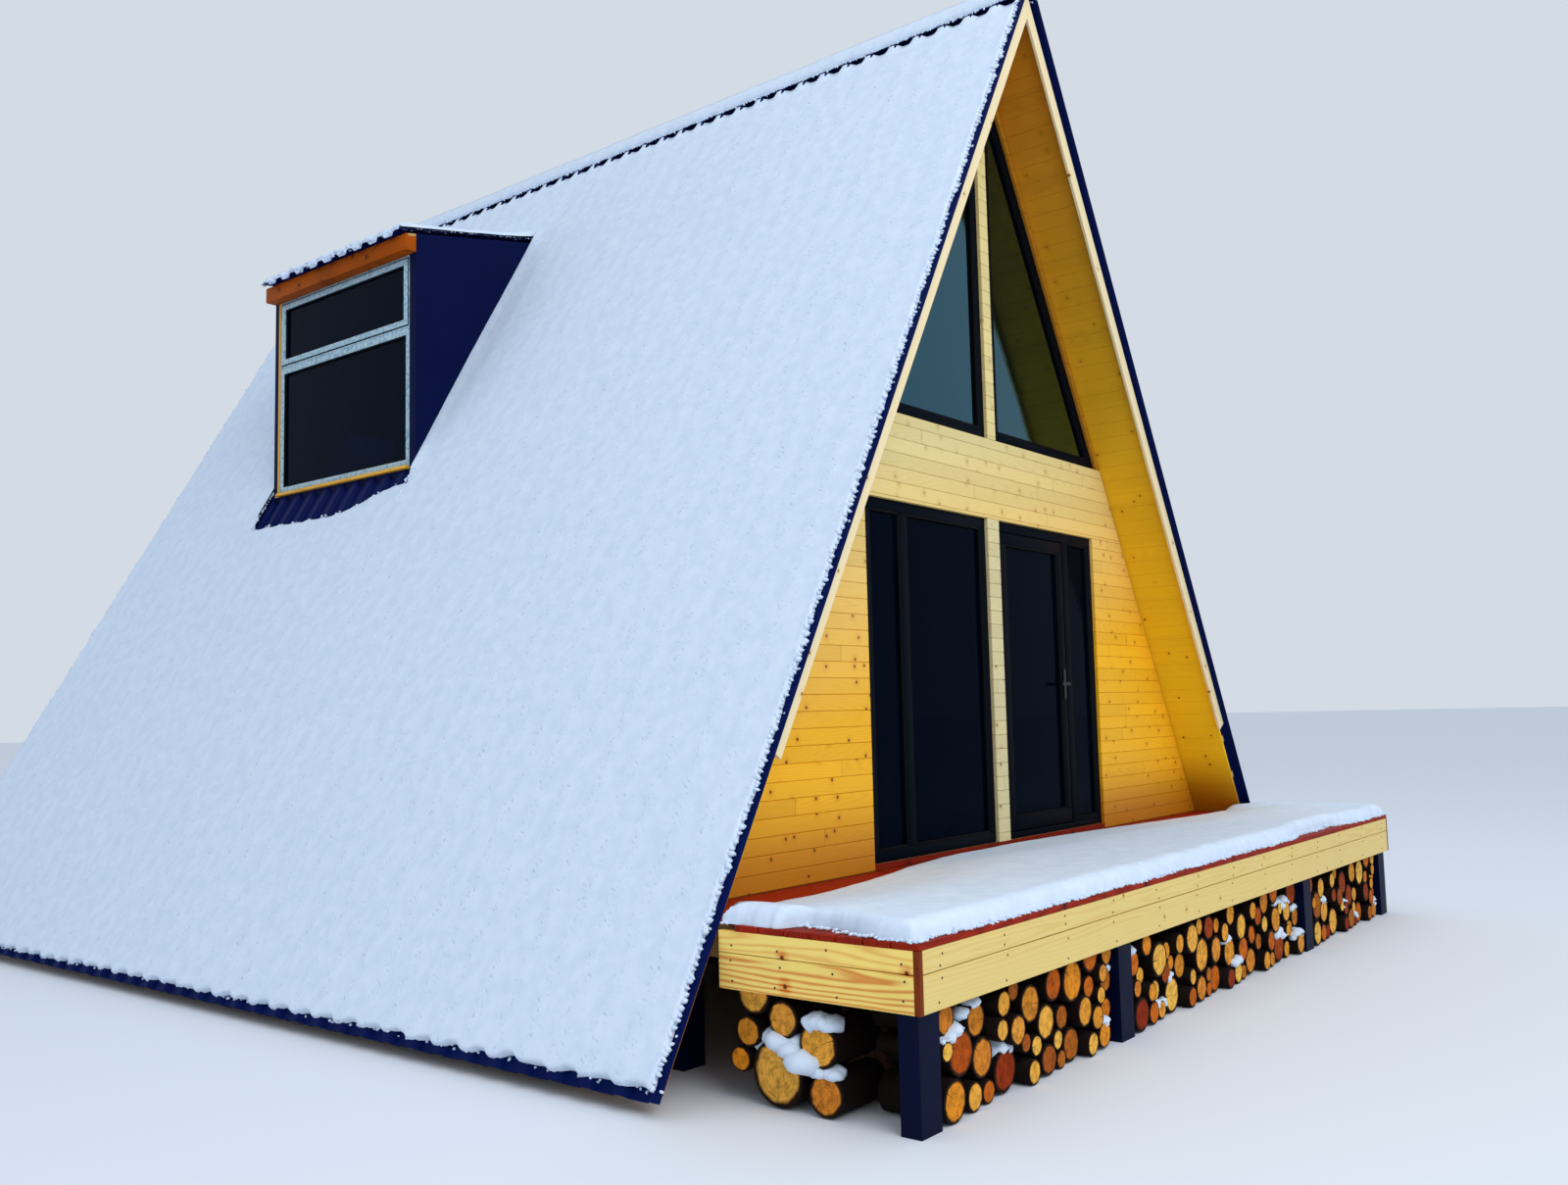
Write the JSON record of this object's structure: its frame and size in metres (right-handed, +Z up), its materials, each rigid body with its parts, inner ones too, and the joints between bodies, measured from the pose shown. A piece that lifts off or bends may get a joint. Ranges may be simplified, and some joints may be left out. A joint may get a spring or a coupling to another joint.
{
  "type": "cabin",
  "caption": "steep gable roof building down to the ground, glazed front with inward door, side dormer, raised timber deck over stacked firewood",
  "frame": {"origin": "on the ground, at the middle of the whole length and width", "axes": "+X to the right seen from the front, +Y from the deck to the back gable, +Z up"},
  "size_m": [7.7076, 9.72, 6.756],
  "materials": {
    "steel": "powder-coated dark steel",
    "timber": "rough sawn structural timber",
    "floor": "planed floor boards",
    "soffit": "stained boards",
    "lining": "planed pine boards",
    "sheet": "coated profiled sheet",
    "barge": "pale planed pine",
    "cladding": "oiled pine boards",
    "frame": "matt dark navy",
    "glass": "insulating glass",
    "handle": "satin",
    "deck": "dark red-brown stain",
    "header": "orange stain",
    "sill": "yellow-orange stain",
    "film": "pale film over the frame",
    "trim": "brown trim",
    "bark": "barked softwood logs"
  },
  "bodies": {
    "cabin": {"deck_posts": "steel", "cabin_posts": "steel", "floor_beams": "steel", "floor_joists": "timber", "ground_floor": "floor", "loft_joists": "timber", "loft_floor": "floor", "rafters_left": "timber", "rafters_right": "timber", "roof_boards_left": "soffit", "roof_boards_right": "soffit", "lining_left": "lining", "lining_right": "lining", "laths": "timber", "roof_sheet_left": "sheet", "roof_sheet_right": "sheet", "ridge_cap": "sheet", "barge_boards_front": "barge", "barge_boards_back": "barge", "front_wall_left": "cladding", "front_wall_right": "cladding", "front_wall_band": "cladding", "front_wall_peak": "cladding", "centre_post": "cladding", "threshold": "deck", "window_frame": "frame", "window_glass": "glass", "door_frame": "frame", "sidelight_glass": "glass", "hinges_frame": "handle", "upper_window_frames": "frame", "upper_window_glass": "glass", "back_wall_lower": "cladding", "back_wall_upper": "cladding", "back_window_frames": "frame", "back_window_glass": "glass", "dormer_cheeks": "lining", "dormer_cheek_sheets": "sheet", "dormer_curb": "timber", "dormer_header": "header", "dormer_sill_board": "sill", "dormer_roof_boards": "timber", "dormer_roof_sheet": "sheet", "dormer_apron": "sheet", "dormer_window_frame": "film", "dormer_glass": "glass", "deck_frame": "timber", "deck_boards": "deck", "fascia_front": "barge", "fascia_sides": "barge", "deck_corner_trims": "trim", "firewood_front_left": "bark", "firewood_front_middle": "bark", "firewood_front_right": "bark", "firewood_sides": "bark"},
    "door": {"door_leaf": "frame", "door_glass": "glass", "door_handle": "handle", "hinges_leaf": "handle"}
  },
  "joints": [
    {"name": "door_hinge", "type": "hinge", "parent": "cabin", "child": "door", "pos_m": [0.1155, -3.217, 0.81], "axis": [0, 0, 1], "range_deg": [0, 90]}
  ]
}
